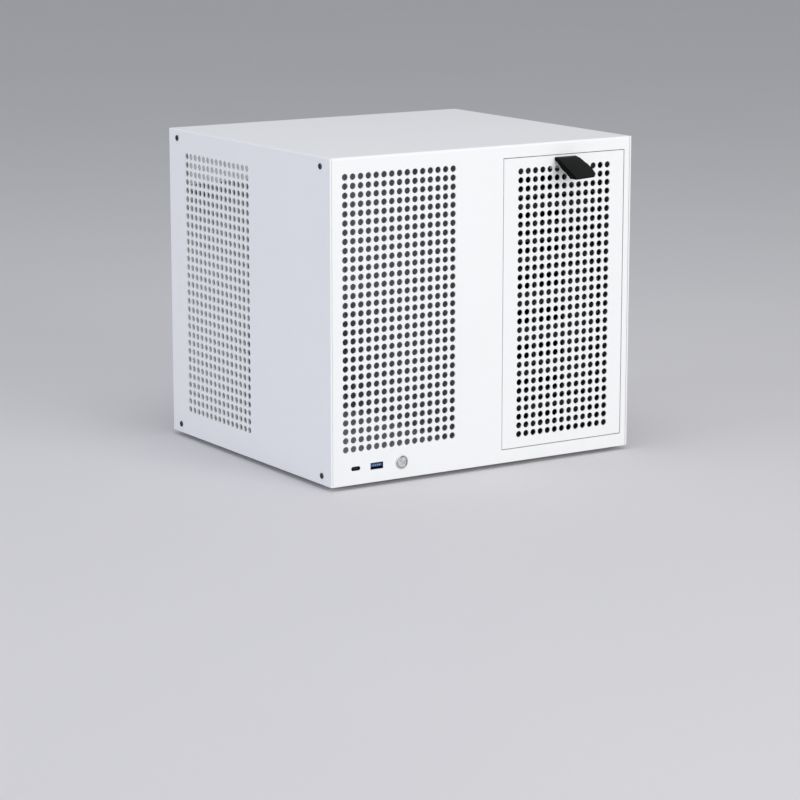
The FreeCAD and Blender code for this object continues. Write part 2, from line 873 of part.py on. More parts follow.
os.makedirs("parts", exist_ok=True)
write("front_panel", front_panel())
write("top_panel", level_panel(top_z, -1, top_fold))
write("base_panel", level_panel(base_z, 1, sheet))
write("rear_panel", rear_panel())
for side, name in ((-1, "left"), (1, "right")):
    write(f"{name}_side_panel", side_panel(side))
    write(f"{name}_side_screws", side_screws(side))
write("feet", feet())
write("door_panel", door_panel())
write("pull_tab", pull_tab())
write("tab_clamp", tab_clamp())
write("door_magnets", door_magnets())
write("strike_plates", strike_plates())
write("pivot_pins", pivot_pins())
write("board_partition", partition())
write("cage_wall", cage_wall())
for bay in range(bay_count):
    write(f"drive_tray_{bay + 1}", tray(bay))
write("backplane", backplane())
write("drive_sockets", drive_sockets())
write("backplane_headers", backplane_headers())
for name, centre_z in zip(("lower", "upper"), fan_heights()):
    write(f"{name}_fan_frame", fan_frame(centre_z))
    write(f"{name}_fan_rotor", fan_rotor(centre_z))
write("fan_screws", fan_screws())
write("standoffs", standoffs())
for slot in range(slot_count):
    write(f"slot_cover_{slot + 1}", slot_cover(slot))
write("supply_shelf", supply_shelf())
write("usb_a_shell", usb_a_shell())
write("usb_a_tongue", usb_a_tongue())
write("usb_c_shell", usb_c_shell())
write("usb_c_tongue", usb_c_tongue())
write("usb_c_riser", usb_c_riser())
write("port_board", port_board())
write("port_bracket", port_bracket())
write("button_body", button_body())
write("button_cap", button_cap())
write("button_nut", button_nut())
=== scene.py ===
# %% [markdown]
# # A white drive case in a photo studio
# The case is folded steel sheet with a white powder coat, punched with fields of round holes.
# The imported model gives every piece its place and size. This lesson dresses it: it cuts the true
# holes, folds the sheet, turns the button, cuts the strap and mixes a finish for each material.

# %% Load the frame
import json
import math
import bmesh
import bpy
from itertools import product
from mathutils import Matrix, Vector


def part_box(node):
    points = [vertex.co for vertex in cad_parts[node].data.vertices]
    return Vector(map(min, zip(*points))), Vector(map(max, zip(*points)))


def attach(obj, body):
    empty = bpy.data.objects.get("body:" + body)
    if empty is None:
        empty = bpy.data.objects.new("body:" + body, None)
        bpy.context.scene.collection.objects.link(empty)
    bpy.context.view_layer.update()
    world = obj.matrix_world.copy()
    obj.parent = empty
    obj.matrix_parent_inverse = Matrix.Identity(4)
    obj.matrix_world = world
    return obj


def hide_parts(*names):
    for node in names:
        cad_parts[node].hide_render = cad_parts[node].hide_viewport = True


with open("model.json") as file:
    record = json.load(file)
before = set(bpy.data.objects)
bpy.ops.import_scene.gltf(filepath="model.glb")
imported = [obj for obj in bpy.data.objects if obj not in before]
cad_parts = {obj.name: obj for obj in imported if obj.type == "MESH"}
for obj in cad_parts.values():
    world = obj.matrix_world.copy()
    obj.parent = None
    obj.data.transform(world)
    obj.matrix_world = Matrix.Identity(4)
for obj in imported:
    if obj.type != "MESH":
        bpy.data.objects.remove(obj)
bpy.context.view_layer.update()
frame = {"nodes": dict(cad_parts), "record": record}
nodes = frame["nodes"]
scene = bpy.context.scene
MM = 0.001

# %% [markdown]
# ## Shader maths as plain expressions
# A finish is a small graph of nodes. Wrapping a socket in a class with operators lets the graph be
# written as a formula, such as `0.4 + 0.1 * noise`, and each operator adds one Math node.

# %% The socket class


class Wire:
    """A socket of a material's node tree that can be used in formulas."""

    def __init__(self, tree, socket):
        self.tree = tree
        self.socket = socket

    def make(self, kind, settings=None, inputs=None, out=0):
        """Add a node: its settings first, then the values or wires of its sockets."""
        node = self.tree.nodes.new(kind)
        for name, value in (settings or {}).items():
            setattr(node, name, value)
        for name, value in (inputs or {}).items():
            connect(self.tree, node.inputs[name], value)
        return Wire(self.tree, node.outputs[out])

    def maths(self, operation, first, second):
        return self.make("ShaderNodeMath", {"operation": operation}, {0: first, 1: second})

    def __add__(self, other):
        return self.maths("ADD", self, other)

    def __sub__(self, other):
        return self.maths("SUBTRACT", self, other)

    def __rsub__(self, other):
        return self.maths("SUBTRACT", other, self)

    def __mul__(self, other):
        return self.maths("MULTIPLY", self, other)

    __radd__ = __add__
    __rmul__ = __mul__

    def noise(self, scale, detail=2.0, stretch=(1, 1, 1)):
        """Noise over the piece's own coordinates, stretched along some of its axes."""
        place = self.make("ShaderNodeMapping", {}, {"Vector": self, "Scale": stretch})
        return place.make("ShaderNodeTexNoise", {},
                          {"Vector": place, "Scale": scale, "Detail": detail})

    def blend(self, low, high):
        """A colour between two, with this value as the share of the second."""
        return self.make("ShaderNodeMix", {"data_type": "RGBA"},
                         {"Factor": self, 6: (*low, 1), 7: (*high, 1)}, out=2)

    def bump(self, strength, depth):
        """A normal from this value taken as height, in metres at full height."""
        return self.make("ShaderNodeBump", {},
                         {"Height": self, "Strength": strength, "Distance": depth})


def connect(tree, socket, value):
    """Link a wire to a socket, or set the socket's own value."""
    if isinstance(value, Wire):
        tree.links.new(value.socket, socket)
    else:
        socket.default_value = value


def new_finish(name, **constants):
    """A new material, its shader, and the object's own coordinates as a wire."""
    material = bpy.data.materials.new(name)
    material.use_nodes = True
    tree = material.node_tree
    shader = tree.nodes["Principled BSDF"]
    for socket, value in constants.items():
        shader.inputs[socket.replace("_", " ")].default_value = value
    coords = tree.nodes.new("ShaderNodeTexCoord")
    return material, shader, Wire(tree, coords.outputs["Object"])


def dress(shader, place, colour, roughness, normal=None):
    """Feed the three sockets that vary over a surface."""
    connect(place.tree, shader.inputs["Base Color"], colour)
    connect(place.tree, shader.inputs["Roughness"], roughness)
    if normal:
        connect(place.tree, shader.inputs["Normal"], normal)


print("shader class ready")

# %% [markdown]
# ## Finishes
# Powder coat is melted plastic powder: it is satin, with a fine orange-peel skin under a millimetre
# wide, and it is never quite even in gloss. Each finish below has that kind of story: a colour that
# drifts a little, a gloss that drifts with it, and a relief at the real scale.

# %% Powder coats


def around(shade, drift):
    """The darkest and the lightest colour of a shade that wanders."""
    return [c * (1 - drift) for c in shade], [min(1, c * (1 + drift)) for c in shade]


def powder_coat(name, shade, drift, gloss):
    """Satin coat with orange peel; shade is the middle colour and drift how far it wanders."""
    material, shader, place = new_finish(name, Specular_IOR_Level=0.4)
    cloud = place.noise(9, 3)
    peel = place.noise(1400, 2)
    grain = place.noise(5200, 1)
    dress(shader, place, cloud.blend(*around(shade, drift)), gloss - 0.05 + 0.1 * peel,
          (peel * 0.7 + grain * 0.3).bump(0.18, 0.06 * MM))
    return material


white_coat = powder_coat("white powder coat", (0.862, 0.866, 0.874), 0.012, 0.42)
# The inner coat is dark grey: partly the grey of the inner steel, partly painted shade for the dim
# inside of the case
inner_coat = powder_coat("inner coat with painted shade", (0.25, 0.255, 0.265), 0.06, 0.5)
print("coats:", white_coat.name, inner_coat.name)

# %% Moulded and cut materials


def moulded(name, shade, gloss, grain_scale, grain_depth):
    """Moulded plastic or rubber: a fine eroded grain and a faint cloudiness."""
    material, shader, place = new_finish(name)
    cloud = place.noise(60, 2)
    grain = place.noise(grain_scale, 3)
    dress(shader, place, cloud.blend(*around(shade, 0.12)), gloss + 0.12 * grain - 0.06,
          grain.bump(0.35, grain_depth))
    return material


def strap_leather():
    """Black leather: cells of grain with creases between them, and darker where it is cut."""
    material, shader, place = new_finish("strap leather", Specular_IOR_Level=0.06)
    cells = place.make("ShaderNodeTexVoronoi", {"feature": "DISTANCE_TO_EDGE"},
                       {"Vector": place, "Scale": 1100.0})
    fine = place.noise(3600, 3)
    wear = place.noise(90, 3)
    cut = place.make("ShaderNodeAttribute", {"attribute_name": "cut edge"}, out=2)
    share = (1 - cut) * (0.4 + wear * 0.4 + fine * 0.2)
    dress(shader, place, share.blend((0.001, 0.001, 0.001), (0.0135, 0.014, 0.014)),
          0.62 - 0.14 * wear, (cells * 1.4 + fine * 0.4).bump(0.4, 0.12 * MM))
    return material


tray_plastic = moulded("tray plastic", (0.013, 0.013, 0.014), 0.5, 2600, 0.05 * MM)
fan_plastic = moulded("fan plastic", (0.022, 0.022, 0.023), 0.42, 1800, 0.03 * MM)
socket_plastic = moulded("socket plastic", (0.02, 0.02, 0.021), 0.38, 2400, 0.02 * MM)
port_blue = moulded("port blue plastic", (0.018, 0.085, 0.27), 0.36, 2400, 0.02 * MM)
lamp_window = moulded("lamp window", (0.35, 0.42, 0.4), 0.25, 3000, 0.01 * MM)
foot_rubber = moulded("foot rubber", (0.02, 0.02, 0.02), 0.75, 1500, 0.08 * MM)
strap = strap_leather()
print("moulded finishes made")

# %% Metals and boards


def plated(name, shade, gloss, along, scale=260):
    """Plated or brushed metal: streaks along one axis in both gloss and colour."""
    material, shader, place = new_finish(name, Metallic=1.0)
    streaks = place.noise(scale, 4, along)
    cloud = place.noise(120, 2)
    low = [c * 0.9 for c in shade]
    mix = streaks * 0.6 + cloud * 0.4
    dress(shader, place, mix.blend(low, shade), gloss + 0.18 * streaks - 0.05,
          streaks.bump(0.12, 0.03 * MM))
    return material


def turned_metal(name, shade, centre):
    """Metal faced on a lathe: rings around the piece's axis, which runs along Y."""
    material, shader, place = new_finish(name, Metallic=1.0)
    local = place.make("ShaderNodeMapping", {}, {"Vector": place, "Location": [-c for c in centre]})
    flat = local.make("ShaderNodeVectorMath", {"operation": "MULTIPLY"}, {0: local, 1: (1, 0, 1)})
    radius = flat.make("ShaderNodeVectorMath", {"operation": "LENGTH"}, {0: flat}, out=1)
    rings = radius.maths("SINE", radius * 24000, 0)
    cloud = place.noise(420, 3)
    mottle = cloud.make("ShaderNodeMapRange", {},
                        {"Value": cloud, "From Min": 0.36, "From Max": 0.64})
    low = [c * 0.66 for c in shade]
    dress(shader, place, mottle.blend(low, shade), 0.36 + 0.12 * mottle,
          (rings * 0.5 + cloud).bump(0.1, 0.02 * MM))
    return material


def circuit_board():
    """Solder mask over copper: dark green with faint straight tracks in relief."""
    material, shader, place = new_finish("board solder mask", Coat_Weight=0.3, Coat_Roughness=0.2)
    quarter_turn = (math.pi / 2, 0, 0)
    upright = place.make("ShaderNodeMapping", {}, {"Vector": place, "Rotation": quarter_turn})
    tracks = place.make("ShaderNodeTexBrick", {"offset": 0.3}, {
        "Vector": upright, "Scale": 90.0, "Mortar Size": 0.03, "Color1": (0, 0, 0, 1),
        "Color2": (0.2, 0.2, 0.2, 1), "Mortar": (1, 1, 1, 1)})
    dress(shader, place, tracks.blend((0.012, 0.05, 0.028), (0.03, 0.11, 0.06)),
          0.4 + 0.1 * place.noise(300), tracks.bump(0.2, 0.04 * MM))
    return material


zinc = plated("zinc plate", (0.62, 0.63, 0.64), 0.32, (1, 1, 0.15))
black_nickel = plated("black nickel", (0.06, 0.062, 0.068), 0.3, (1, 0.15, 1))
black_oxide = plated("black oxide", (0.08, 0.08, 0.083), 0.45, (1, 1, 1), 900)
green_board = circuit_board()
print("metals and board made")

# %% [markdown]
# ## Sizes read from the frame
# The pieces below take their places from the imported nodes, so that nothing has to be fitted by eye.
# What a node's box can't tell is named here: the real hole, its spacing, and how the sheet is bent.

# %% Places and sizes
HOLE_RADIUS = 3.0 * MM
HOLE_PITCH = 8.3 * MM
FIELD_ROWS = 31
FRONT_COLUMNS = 15
DOOR_COLUMNS = 13
SIDE_COLUMNS = 15
FRONT_FIELD_LEFT = 11.6 * MM
FRONT_FIELD_BASE = 29.2 * MM
SIDE_FIELD_FRONT = 144.5 * MM
SIDE_FIELD_BASE = 22.4 * MM
SHEET = 1.2 * MM
BEND = 2.0 * MM
EDGE_BREAK = 0.3 * MM
SEAM = 0.35 * MM
STRAP_ROOT = 24.3 * MM

side_low, side_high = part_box("left_side_panel")
front_low, front_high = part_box("front_panel")
door_low, door_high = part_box("door_panel")
front_y = side_low.y
rear_y = side_high.y
case_left = side_low.x
base_z = side_low.z
top_z = side_high.z
side_sheet = side_high.x - side_low.x
field_size = FIELD_ROWS * HOLE_PITCH
print("front at", round(front_y, 4), "case height", round(top_z - base_z, 4))

# %% [markdown]
# ## Punched sheet
# A punch press strikes hundreds of equal holes on a square grid. A boolean for each hole would be
# slow and untidy, so one cell of the grid is modelled: a square of sheet with a round hole.
# Geometry Nodes repeat the cell over a grid, join it to the plain sheet around it and merge the
# seams.

# %% One cell of the punch grid
CELL_SIDES = 20
HOLE_EDGE = 0.2 * MM


def ring_of(shape, radius, level, sides, start=0.0):
    """A ring of corners around Z; the radius may be a formula of the angle."""
    ring = []
    for step in range(sides):
        turn = 2 * math.pi * step / sides + start
        reach = radius(turn) if callable(radius) else radius
        ring.append(shape.verts.new((reach * math.cos(turn), reach * math.sin(turn), level)))
    return ring


def bridge(shape, first, second):
    """A band of faces between two rings that have as many corners."""
    for step in range(len(first)):
        after = (step + 1) % len(first)
        shape.faces.new((first[step], first[after], second[after], second[step]))


def add_cell_face(shape, hole, level, outward):
    """The square face of a cell around its hole, in four parts that meet on the diagonals."""
    half = HOLE_PITCH / 2
    square = [shape.verts.new((half * x, half * y, level))
              for x, y in ((1, 1), (-1, 1), (-1, -1), (1, -1))]
    quarter = CELL_SIDES // 4
    for side in range(4):
        arc = [hole[(side * quarter + step) % CELL_SIDES] for step in range(quarter + 1)]
        loop = [square[side], square[(side + 1) % 4]] + arc[::-1]
        shape.faces.new(loop if outward else loop[::-1])


def hole_cell(thickness):
    """A square of sheet around one hole, in XY with its outer face at Z = 0.

    Each ring starts on a diagonal, where the parts of the square face meet.
    """
    cell = bmesh.new()
    mouth, upper, lower = [
        ring_of(cell, radius, level, CELL_SIDES, math.pi / 4) for radius, level in (
            (HOLE_RADIUS + HOLE_EDGE, 0), (HOLE_RADIUS, -HOLE_EDGE), (HOLE_RADIUS, -thickness))]
    add_cell_face(cell, mouth, 0, True)
    add_cell_face(cell, lower, -thickness, False)
    bridge(cell, mouth, upper)
    bridge(cell, upper, lower)
    mesh = bpy.data.meshes.new("hole cell")
    cell.to_mesh(mesh)
    cell.free()
    return bpy.data.objects.new("hole cell", mesh)


print("cell faces:", len(hole_cell(SHEET).data.polygons))

# %% Building blocks for node trees


def new_tree(name, **inputs):
    """An empty geometry tree with a geometry input and named inputs, and its two end nodes."""
    tree = bpy.data.node_groups.new(name, "GeometryNodeTree")
    tree.interface.new_socket("Geometry", in_out="INPUT", socket_type="NodeSocketGeometry")
    for label, kind in inputs.items():
        tree.interface.new_socket(label, in_out="INPUT", socket_type=f"NodeSocket{kind}")
    tree.interface.new_socket("Geometry", in_out="OUTPUT", socket_type="NodeSocketGeometry")
    return tree, tree.nodes.new("NodeGroupInput"), tree.nodes.new("NodeGroupOutput")


def add_node(tree, kind, links=None, **settings):
    """A geometry node with its settings and the sockets or values that feed it."""
    node = tree.nodes.new(kind)
    for name, value in settings.items():
        setattr(node, name, value)
    for name, source in (links or {}).items():
        if isinstance(source, bpy.types.NodeSocket):
            tree.links.new(source, node.inputs[name])
        else:
            node.inputs[name].default_value = source
    return node


def rotation(tree, euler):
    """A rotation out of three angles."""
    return add_node(tree, "FunctionNodeEulerToRotation", {"Euler": euler}).outputs["Rotation"]


def copies(tree, points, piece, turn=None):
    """A copy of an object on every point, turned if asked, and made real."""
    source = add_node(tree, "GeometryNodeObjectInfo", {"Object": piece})
    links = {"Points": points, "Instance": source.outputs["Geometry"]}
    if turn is not None:
        links["Rotation"] = rotation(tree, turn)
    spread = add_node(tree, "GeometryNodeInstanceOnPoints", links)
    real = add_node(tree, "GeometryNodeRealizeInstances", {"Geometry": spread.outputs["Instances"]})
    return real.outputs["Geometry"]


def joined(tree, *sources):
    """Several geometries as one."""
    node = add_node(tree, "GeometryNodeJoinGeometry")
    for source in sources:
        tree.links.new(source, node.inputs[0])
    return node.outputs["Geometry"]


def coat_and_end(tree, geometry, finish, end):
    """Give the geometry its finish and lead it out of the tree."""
    coated = add_node(tree, "GeometryNodeSetMaterial", {"Geometry": geometry, "Material": finish})
    tree.links.new(coated.outputs["Geometry"], end.inputs[0])
    return tree


print("tree building blocks ready")

# %% The node tree that repeats the cell
WELD = 0.02 * MM


def punch_tree():
    """Grid of points, a cell on each, stood in place, joined to the sheet and merged."""
    tree, start, end = new_tree(
        "punched field", Cell="Object", Columns="Int", Rows="Int", Width="Float", Height="Float",
        Centre="Vector", Stand="Vector", Finish="Material")
    wires = start.outputs
    grid = add_node(tree, "GeometryNodeMeshGrid", {
        "Size X": wires["Width"], "Size Y": wires["Height"],
        "Vertices X": wires["Columns"], "Vertices Y": wires["Rows"]})
    stood = add_node(tree, "GeometryNodeTransform", {
        "Geometry": copies(tree, grid.outputs["Mesh"], wires["Cell"]),
        "Translation": wires["Centre"], "Rotation": rotation(tree, wires["Stand"])})
    both = joined(tree, stood.outputs["Geometry"], wires["Geometry"])
    sealed = add_node(tree, "GeometryNodeMergeByDistance", {"Geometry": both, "Distance": WELD})
    return coat_and_end(tree, sealed.outputs["Geometry"], wires["Finish"], end)


PUNCH = punch_tree()
print("punch tree nodes:", len(PUNCH.nodes))

# %% Helpers that turn a modifier or a bmesh into a finished piece


def grow(piece, tree, **inputs):
    """Run a geometry tree on a piece and keep the result as a plain mesh.

    Each input is set by the identifier of its socket, before the tree first runs.
    """
    modifier = piece.modifiers.new(tree.name, "NODES")
    modifier.node_group = tree
    for item in tree.interface.items_tree:
        if item.in_out == "INPUT" and item.name in inputs:
            modifier[item.identifier] = inputs[item.name]
    view = bpy.context.evaluated_depsgraph_get()
    mesh = bpy.data.meshes.new_from_object(piece.evaluated_get(view))
    piece.modifiers.clear()
    piece.data = mesh
    return piece


def mesh_from(shape, name):
    """A mesh out of a bmesh, with outward faces."""
    bmesh.ops.recalc_face_normals(shape, faces=shape.faces)
    mesh = bpy.data.meshes.new(name)
    shape.to_mesh(mesh)
    shape.free()
    return mesh


def piece_from(shape, name, finish=None):
    """An object out of a bmesh, linked into the scene."""
    mesh = mesh_from(shape, name)
    piece = bpy.data.objects.new(name, mesh)
    scene.collection.objects.link(piece)
    if finish:
        mesh.materials.append(finish)
    return piece


def settle(piece, body, slot, *stood_for):
    """Let a piece ride on a body and stand for its CAD nodes; the slot is not used."""
    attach(piece, body)
    if stood_for:
        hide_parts(*stood_for)
    print(piece.name, "faces:", len(piece.data.polygons))


def add_box(shape, low, high, edge=0.0):
    """A box between two corners, its edges broken by a small chamfer."""
    made = bmesh.ops.create_cube(shape, size=1)
    verts = made["verts"]
    for vert in verts:
        vert.co = Vector(l + (h - l) * (c + 0.5) for l, h, c in zip(low, high, vert.co))
    if edge:
        edges = list(dict.fromkeys(e for v in verts for e in v.link_edges))
        bmesh.ops.bevel(shape, geom=edges, offset=edge, segments=2, profile=0.7, affect="EDGES")


print("helpers ready")

# %% [markdown]
# ## The plain sheet around a field
# The sheet is laid out flat on grid lines, as in a flat pattern: lines at every cell of the field,
# at the door opening and at the folds. A small function then folds the flat pattern into place.
# The front and the top come out as one sheet with a rounded bend and no seam.

# %% Flat pattern to folded sheet
SOLID, OPEN, PUNCHED = range(3)


def flat_sheet(across, along, kind, fold, thickness):
    """A sheet with thickness on grid lines; kind tells what each cell is, fold where it goes."""
    shape = bmesh.new()
    corners = {}

    def corner(i, j, depth):
        key = (i, j, depth)
        if key not in corners:
            corners[key] = shape.verts.new(fold(across[i], along[j], depth * thickness))
        return corners[key]

    def cell_kind(i, j):
        if not (0 <= i < len(across) - 1 and 0 <= j < len(along) - 1):
            return OPEN
        return kind((across[i] + across[i + 1]) / 2, (along[j] + along[j + 1]) / 2)

    for i in range(len(across) - 1):
        for j in range(len(along) - 1):
            if cell_kind(i, j) != SOLID:
                continue
            ring = [(i, j), (i + 1, j), (i + 1, j + 1), (i, j + 1)]
            shape.faces.new([corner(*c, 0) for c in ring])
            shape.faces.new([corner(*c, 1) for c in ring[::-1]])
            beside = [(i, j - 1), (i + 1, j), (i, j + 1), (i - 1, j)]
            for side, neighbour in enumerate(beside):
                if cell_kind(*neighbour) == OPEN:
                    a, b = ring[side], ring[(side + 1) % 4]
                    shape.faces.new([corner(*a, 0), corner(*a, 1), corner(*b, 1), corner(*b, 0)])
    return shape


print("flat sheet ready")

# %% Lines and fields of a flat pattern
SAME_LINE = 1e-6


def steps(start, count, size):
    """Evenly spaced lines from a start."""
    return [start + size * n for n in range(count + 1)]


def merged_lines(*groups):
    """Sorted grid lines without doubles."""
    lines = sorted(v for group in groups for v in group)
    return [v for n, v in enumerate(lines) if n == 0 or v - lines[n - 1] > SAME_LINE]


def in_box(u, v, box):
    """Whether a point lies in a box, given as left, right, low and high."""
    return box[0] < u < box[1] and box[2] < v < box[3]


def field_box(corner, columns):
    """The box of a field of holes, from its low left corner."""
    left, low = corner
    return (left, left + columns * HOLE_PITCH, low, low + field_size)


def field_lines(field, columns):
    """The lines between the columns and between the rows of a field."""
    return steps(field[0], columns, HOLE_PITCH), steps(field[2], FIELD_ROWS, HOLE_PITCH)


def rim_lines(low, high, high_break=EDGE_BREAK):
    """The ends of a sheet and the lines where its broken edges begin."""
    return [low, low + EDGE_BREAK, high - high_break, high]


def sheet_kind(punched, opened=()):
    """What a flat pattern holds at a point: cells to punch, an opening or plain sheet."""
    def kind(u, v):
        if any(in_box(u, v, box) for box in opened):
            return OPEN
        return PUNCHED if any(in_box(u, v, box) for box in punched) else SOLID
    return kind


def punch(sheet, field, columns, fold, thickness, turn=0.0):
    """Fill the field that a sheet leaves open with punched cells."""
    left, right, low, high = field
    grow(sheet, PUNCH, Cell=hole_cell(thickness), Columns=columns, Rows=FIELD_ROWS,
         Width=(columns - 1) * HOLE_PITCH, Height=(FIELD_ROWS - 1) * HOLE_PITCH,
         Centre=fold((left + right) / 2, (low + high) / 2, 0), Stand=(math.pi / 2, 0, turn),
         Finish=white_coat)


print("field height:", round(field_size, 4))

# %% Openings and broken edges
PORT_MARGIN = 0.3 * MM
PATCH_RIM = 1.5 * MM
CORNER_STEPS = 6
SAME = 1e-7


def patch_around(cut, columns):
    """A box around a cut, as wide as the columns of the field that it lies beside."""
    left, right, low, high = cut
    return (max(u for u in columns if u < left - PORT_MARGIN),
            min(u for u in columns if u > right + PORT_MARGIN), low - PATCH_RIM, high + PATCH_RIM)


def rounded_outline(box, radius, count=CORNER_STEPS):
    """Points around a box with rounded corners, each corner an arc of so many steps."""
    left, right, low, high = box
    points = []
    for x, z, turn in ((right - radius, high - radius, 0), (left + radius, high - radius, 90),
                       (left + radius, low + radius, 180), (right - radius, low + radius, 270)):
        for step in range(count + 1):
            angle = math.radians(turn + 90 * step / count)
            points.append((x + radius * math.cos(angle), z + radius * math.sin(angle)))
    return points


def add_patch(shape, lines, box, outline, fold):
    """The sheet between a box on the grid lines and a hole in it, with the wall of the hole."""
    left, right, low, high = box
    across = [u for u in lines[0] if left - SAME <= u <= right + SAME]
    along = [v for v in lines[1] if low - SAME <= v <= high + SAME]
    sides = [[(u, high) for u in across[::-1]], [(left, v) for v in along[::-1]],
             [(u, low) for u in across], [(right, v) for v in along]]
    rings = []
    for depth in (0, SHEET):
        hole = [shape.verts.new(fold(u, v, depth)) for u, v in outline]
        for number, side in enumerate(sides):
            first = number * (CORNER_STEPS + 1) + CORNER_STEPS // 2
            arc = [hole[(first + step) % len(hole)] for step in range(CORNER_STEPS + 2)]
            rim = [shape.verts.new(fold(u, v, depth)) for u, v in side]
            shape.faces.new(rim + arc[::-1])
        rings.append(hole)
    bridge(shape, *rings)


def break_edges(fold, limits):
    """Sink the outermost lines of a sheet's face a little, which breaks its long edges."""
    def broken(u, v, w):
        on_edge = min(abs(u - limits[0]), abs(u - limits[1])) < SAME
        return fold(u, v, w + (EDGE_BREAK if w == 0 and on_edge else 0))
    return broken


print("openings ready")

# %% Cuts in the front for ports and button
BEZEL_LIP = 0.7 * MM
front_field = field_box((case_left + FRONT_FIELD_LEFT, base_z + FRONT_FIELD_BASE), FRONT_COLUMNS)
front_columns, front_rows = field_lines(front_field, FRONT_COLUMNS)
button_low, button_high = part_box("button_body")
button_middle = (button_low + button_high) / 2
bezel = (button_high.x - button_low.x) / 2
barrel = bezel - BEZEL_LIP
button_hole = barrel + PORT_MARGIN


def cut_around(low, high, margin):
    """A box in the front, with a margin around two corners."""
    return (low.x - margin, high.x + margin, low.z - margin, high.z + margin)


usb_a_cut = cut_around(*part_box("usb_a_shell"), PORT_MARGIN)
usb_c_cut = cut_around(*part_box("usb_c_shell"), PORT_MARGIN)
button_cut = cut_around(button_middle, button_middle, button_hole)
cuts = [(usb_a_cut, PORT_MARGIN), (usb_c_cut, (usb_c_cut[3] - usb_c_cut[2]) / 2),
        (button_cut, button_hole)]
patches = [patch_around(cut, front_columns) for cut, _ in cuts]
print("cuts in the front:", len(cuts))

# %% Pattern of the front and top, one folded sheet
DOOR_GAP = 0.7 * MM
BEND_STEPS = 8
front_left = front_low.x + SEAM
front_right = front_high.x - SEAM
door_gap = cut_around(door_low, door_high, DOOR_GAP)
gap_left, gap_right, gap_base, gap_top = door_gap
arc_length = BEND * math.pi / 2
flat_height = top_z - BEND


def fold_front(u, v, w):
    """Up the front, round the bend and back along the top; v is the length along the sheet."""
    if v <= flat_height:
        return Vector((u, front_y + w, v))
    turn = min(1, (v - flat_height) / arc_length) * math.pi / 2
    reach = max(0, v - flat_height - arc_length)
    radius = BEND - w
    y = front_y + BEND - radius * math.cos(turn) + reach
    return Vector((u, y, flat_height + radius * math.sin(turn)))


front_across = merged_lines(
    rim_lines(front_left, front_right), front_columns, [gap_left, gap_right])
front_along = merged_lines(
    [base_z], front_rows, [gap_base, gap_top], [z for patch in patches for z in patch[2:]],
    steps(flat_height, BEND_STEPS, arc_length / BEND_STEPS),
    [flat_height + arc_length + rear_y - front_y - BEND])
print("front lines:", len(front_across), "by", len(front_along))

# %% Build the front and top
DOOR_FRAME_DEPTH = 14 * MM
RELIEF = 0.3 * MM
sheet_back = front_y + SHEET
frame_back = front_y + DOOR_FRAME_DEPTH
folded = flat_sheet(front_across, front_along, sheet_kind([front_field, *patches], [door_gap]),
                    break_edges(fold_front, (front_left, front_right)), SHEET)
for patch, (cut, radius) in zip(patches, cuts):
    add_patch(folded, (front_across, front_along), patch, rounded_outline(cut, radius), fold_front)
for low_x, high_x in ((gap_left - SHEET, gap_left), (gap_right, gap_right + SHEET)):
    add_box(folded, (low_x, sheet_back, gap_base), (high_x, frame_back, gap_top + SHEET))
add_box(folded, (gap_left + RELIEF, sheet_back, gap_top),
        (gap_right - RELIEF, frame_back, gap_top + SHEET))
front_sheet = piece_from(folded, "front_and_top_sheet")
punch(front_sheet, front_field, FRONT_COLUMNS, fold_front, SHEET)
settle(front_sheet, "chassis", "white_coat", "front_panel", "top_panel")

# %% The door, a shallow pan
DOOR_DEPTH = 10 * MM
TAB_SLOT = 1.6 * MM
TAB_DOWN = 3.4 * MM
door_middle = (door_low + door_high) / 2
door_field = field_box((door_middle.x - DOOR_COLUMNS * HOLE_PITCH / 2,
                        door_middle.z - field_size / 2), DOOR_COLUMNS)
clamp_low, clamp_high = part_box("tab_clamp")
tab_x = (clamp_low.x + clamp_high.x) / 2
tab_z = door_high.z - TAB_DOWN
slot_half = STRAP_ROOT / 2 + PORT_MARGIN
slot_box = (tab_x - slot_half, tab_x + slot_half, tab_z - TAB_SLOT, tab_z + TAB_SLOT)
door_columns, door_rows = field_lines(door_field, DOOR_COLUMNS)
slot_patch = patch_around(slot_box, door_columns)
door_across = merged_lines(rim_lines(door_low.x, door_high.x), door_columns)
door_along = merged_lines([door_low.z, door_high.z], slot_patch[2:], door_rows)
# The door lies in the plane of the front, so the front's fold, which is flat there, serves it too.
pan = flat_sheet(door_across, door_along, sheet_kind([slot_patch, door_field]),
                 break_edges(fold_front, (door_low.x, door_high.x)), SHEET)
add_patch(pan, (door_across, door_along), slot_patch,
          rounded_outline(slot_box, PORT_MARGIN), fold_front)
lip_left = door_low.x + SHEET + RELIEF
lip_right = door_high.x - SHEET - RELIEF
for left, right, low, high in (
        (door_low.x, door_low.x + SHEET, door_low.z, door_high.z),
        (door_high.x - SHEET, door_high.x, door_low.z, door_high.z),
        (lip_left, lip_right, door_low.z, door_low.z + SHEET),
        (lip_left, lip_right, door_high.z - SHEET, door_high.z)):
    add_box(pan, (left, sheet_back, low), (right, front_y + DOOR_DEPTH, high))
door_sheet = piece_from(pan, "door_sheet")
punch(door_sheet, door_field, DOOR_COLUMNS, fold_front, SHEET)
settle(door_sheet, "door", "white_coat", "door_panel")

# %% The two side plates
TOP_BREAK = 0.7 * MM
side_field = field_box((front_y + SIDE_FIELD_FRONT, base_z + SIDE_FIELD_BASE), SIDE_COLUMNS)


def stand_left(u, v, w):
    """Stand the plate at the left, all four edges of its outer face broken, the top one most."""
    rim = min(u - front_y, rear_y - u, v - base_z)
    sink = TOP_BREAK if top_z - v < SAME else EDGE_BREAK if rim < SAME else 0
    return Vector((case_left + w + (sink if w == 0 else 0), u, v))


